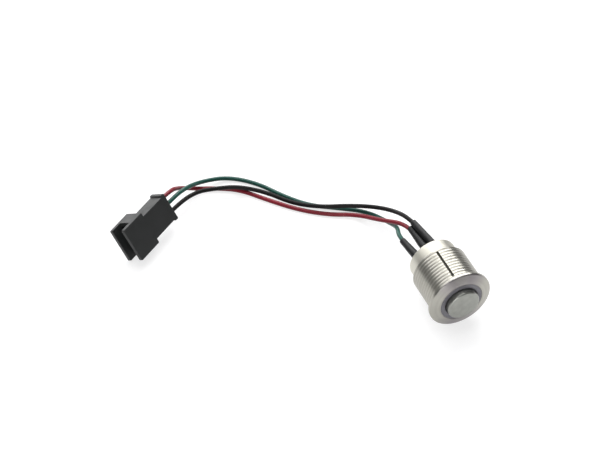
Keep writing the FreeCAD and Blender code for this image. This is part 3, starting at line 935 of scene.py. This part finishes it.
def makeSleeve(colour, facts, s, seed):
    turn = math.radians(buttonRoll)
    across = facts["across"] * s["pitch"]
    root = Vector((across * math.cos(turn), s["rootY"], across * math.sin(turn)))
    end = Vector(facts["sleeveEnd"]) * mm
    axis = (end - root).normalized()
    length = (end - root).length
    side = axis.cross(Vector((0, 0, 1))).normalized()
    up = side.cross(axis)
    lip, lipStart = s["lip"], s["lip"] * s["lipShare"]
    stations = [(length * i / s["along"], 0.0) for i in range(s["along"])]
    stations += [(length - lipStart, lipStart), (length, lip)]
    stations += [(length, s["wall"]), (length * s["boreShare"], s["wall"]), (0.0, s["wall"])]
    vertices, faces = [], []
    for distance, inset in stations:
        for k in range(s["around"]):
            angle = 2 * math.pi * k / s["around"]
            radius = sleeveRadius(s, distance, length, angle, seed) - inset
            point = root + axis * distance + (side * math.cos(angle) + up * math.sin(angle)) * radius
            if distance == 0.0:
                point += axis * (root.y - point.y) / axis.y
            vertices.append(tuple(point))
    for j in range(len(stations)):
        following = (j + 1) % len(stations)
        for k in range(s["around"]):
            after = (k + 1) % s["around"]
            faces.append((
                j * s["around"] + k, j * s["around"] + after,
                following * s["around"] + after, following * s["around"] + k,
            ))
    mesh = meshFrom(f"sleeve{colour.capitalize()}Mesh", vertices, faces, s["sharpAngle"])
    material = finishes["shrink_sleeve"]
    newPiece(f"shrink_sleeve_{colour}", mesh, "body", material, [f"sleeve_{colour}"])


for number, (colour, facts) in enumerate(leadPieces.items()):
    makeSleeve(colour, facts, sleeveSizes, number * sleeveSizes["seedStep"])
report("sleeves")


# The connector housing, with its edges broken as a moulding's are

connectorSizes = dict(
    mergeDistance=1e-7,
    flatAngle=1.0,
    edge=0.11 * mm,
    edgeAngle=50.0,
    segments=3,
    flatWeight=90,
)


def makeConnector(s):
    mesh = nodes["connector_housing"].data.copy()
    work = bmesh.new()
    work.from_mesh(mesh)
    bmesh.ops.remove_doubles(work, verts=work.verts, dist=s["mergeDistance"])
    flat = math.radians(s["flatAngle"])
    bmesh.ops.dissolve_limit(work, angle_limit=flat, verts=work.verts, edges=work.edges)
    for face in work.faces:
        face.smooth = True
    work.to_mesh(mesh)
    work.free()
    material = finishes["connector_black"]
    piece = newPiece("connector_shell", mesh, "body", material, ["connector_housing"])
    bevel = piece.modifiers.new("edges", "BEVEL")
    bevel.width = s["edge"]
    bevel.segments = s["segments"]
    bevel.limit_method = "ANGLE"
    bevel.angle_limit = math.radians(s["edgeAngle"])
    weighted = piece.modifiers.new("flatFaces", "WEIGHTED_NORMAL")
    weighted.weight = s["flatWeight"]


makeConnector(connectorSizes)
report("connector")


# The stage: a pale floor, soft lamps and a studio sky

stageSetup = dict(
    floorZ=-9.02 * mm,
    floorSize=6.0,
    floorColour=(0.38, 0.38, 0.385),
    glowNear=0.7,
    glowFar=1.0,
    glowRange=(0.4, 1.4),
    skyLow=0.14,
    skyHigh=0.3,
    skyRange=(0.05, 0.6),
)
lampAim = (0.0, 0.01, 0.0)
lamps = {
    "keyLamp": dict(place=(0.28, 0.57, 0.60), size=(0.90, 0.46), roll=28.0, power=8.4),
    "overheadLamp": dict(place=(-0.36, 0.62, 0.60), size=(0.56, 0.50), roll=0.0, power=2.4),
    "rimLamp": dict(place=(-0.02, 0.10, 0.86), size=(0.80, 0.24), roll=0.0, power=2.0),
    "backLamp": dict(place=(-0.10, 1.00, 0.14), size=(0.80, 0.26), roll=0.0, power=3.0),
    "frontLamp": dict(place=(-0.44, -0.86, 0.28), size=(0.50, 0.36), roll=0.0, power=3.2),
}


# The floor is lit by the lamps, and glows only to the camera and in reflections, more so far off.
def makeFloor(setup):
    half = setup["floorSize"] / 2
    z = setup["floorZ"]
    corners = [(-half, -half, z), (half, -half, z), (half, half, z), (-half, half, z)]
    mesh = bpy.data.meshes.new("floor")
    mesh.from_pydata(corners, [], [(0, 1, 2, 3)])
    material = bpy.data.materials.new("paleFloor")
    material.use_nodes = True
    tree = material.node_tree
    tree.nodes.clear()
    diffuse = addNode(tree, "ShaderNodeBsdfDiffuse")
    diffuse.inputs["Color"].default_value = (*setup["floorColour"], 1)
    paths = addNode(tree, "ShaderNodeLightPath")
    seen = maths(tree, "ADD", paths.outputs["Is Camera Ray"], paths.outputs["Is Glossy Ray"])
    seen = maths(tree, "ADD", seen, paths.outputs["Is Transmission Ray"], clamp=True)
    coordinates = addNode(tree, "ShaderNodeTexCoord")
    distance = addNode(tree, "ShaderNodeVectorMath", operation="LENGTH")
    tree.links.new(coordinates.outputs["Object"], distance.inputs[0])
    away = distance.outputs["Value"]
    strength = spread(tree, away, *setup["glowRange"], setup["glowNear"], setup["glowFar"])
    glow = addNode(tree, "ShaderNodeEmission")
    tree.links.new(maths(tree, "MULTIPLY", seen, strength), glow.inputs["Strength"])
    both = addNode(tree, "ShaderNodeAddShader")
    tree.links.new(diffuse.outputs[0], both.inputs[0])
    tree.links.new(glow.outputs[0], both.inputs[1])
    output = addNode(tree, "ShaderNodeOutputMaterial")
    tree.links.new(both.outputs[0], output.inputs["Surface"])
    mesh.materials.append(material)
    floor = bpy.data.objects.new("floor", mesh)
    bpy.context.scene.collection.objects.link(floor)


# The sky grows lighter upwards, and is white to the camera.
def makeSky(setup):
    world = bpy.data.worlds.new("studio")
    bpy.context.scene.world = world
    world.use_nodes = True
    tree = world.node_tree
    background = tree.nodes["Background"]
    coordinates = addNode(tree, "ShaderNodeTexCoord")
    parts = addNode(tree, "ShaderNodeSeparateXYZ")
    tree.links.new(coordinates.outputs["Generated"], parts.inputs[0])
    height = spread(tree, parts.outputs[2], *setup["skyRange"], setup["skyLow"], setup["skyHigh"])
    paths = addNode(tree, "ShaderNodeLightPath")
    seen = maths(tree, "MAXIMUM", height, paths.outputs["Is Camera Ray"])
    tree.links.new(seen, background.inputs["Strength"])
    background.inputs["Color"].default_value = (1, 1, 1, 1)


def makeLamp(name, facts):
    data = bpy.data.lights.new(name, "AREA")
    data.shape = "RECTANGLE"
    data.size, data.size_y = facts["size"]
    data.energy = facts["power"]
    lamp = bpy.data.objects.new(name, data)
    lamp.location = facts["place"]
    aim = Vector(facts["place"]) - Vector(lampAim)
    roll = Quaternion((0.0, 0.0, 1.0), math.radians(facts["roll"]))
    lamp.rotation_euler = (aim.to_track_quat("Z", "Y") @ roll).to_euler()
    bpy.context.scene.collection.objects.link(lamp)


makeFloor(stageSetup)
makeSky(stageSetup)
for name, facts in lamps.items():
    makeLamp(name, facts)
bpy.context.scene.view_settings.view_transform = "Standard"
report("stage")
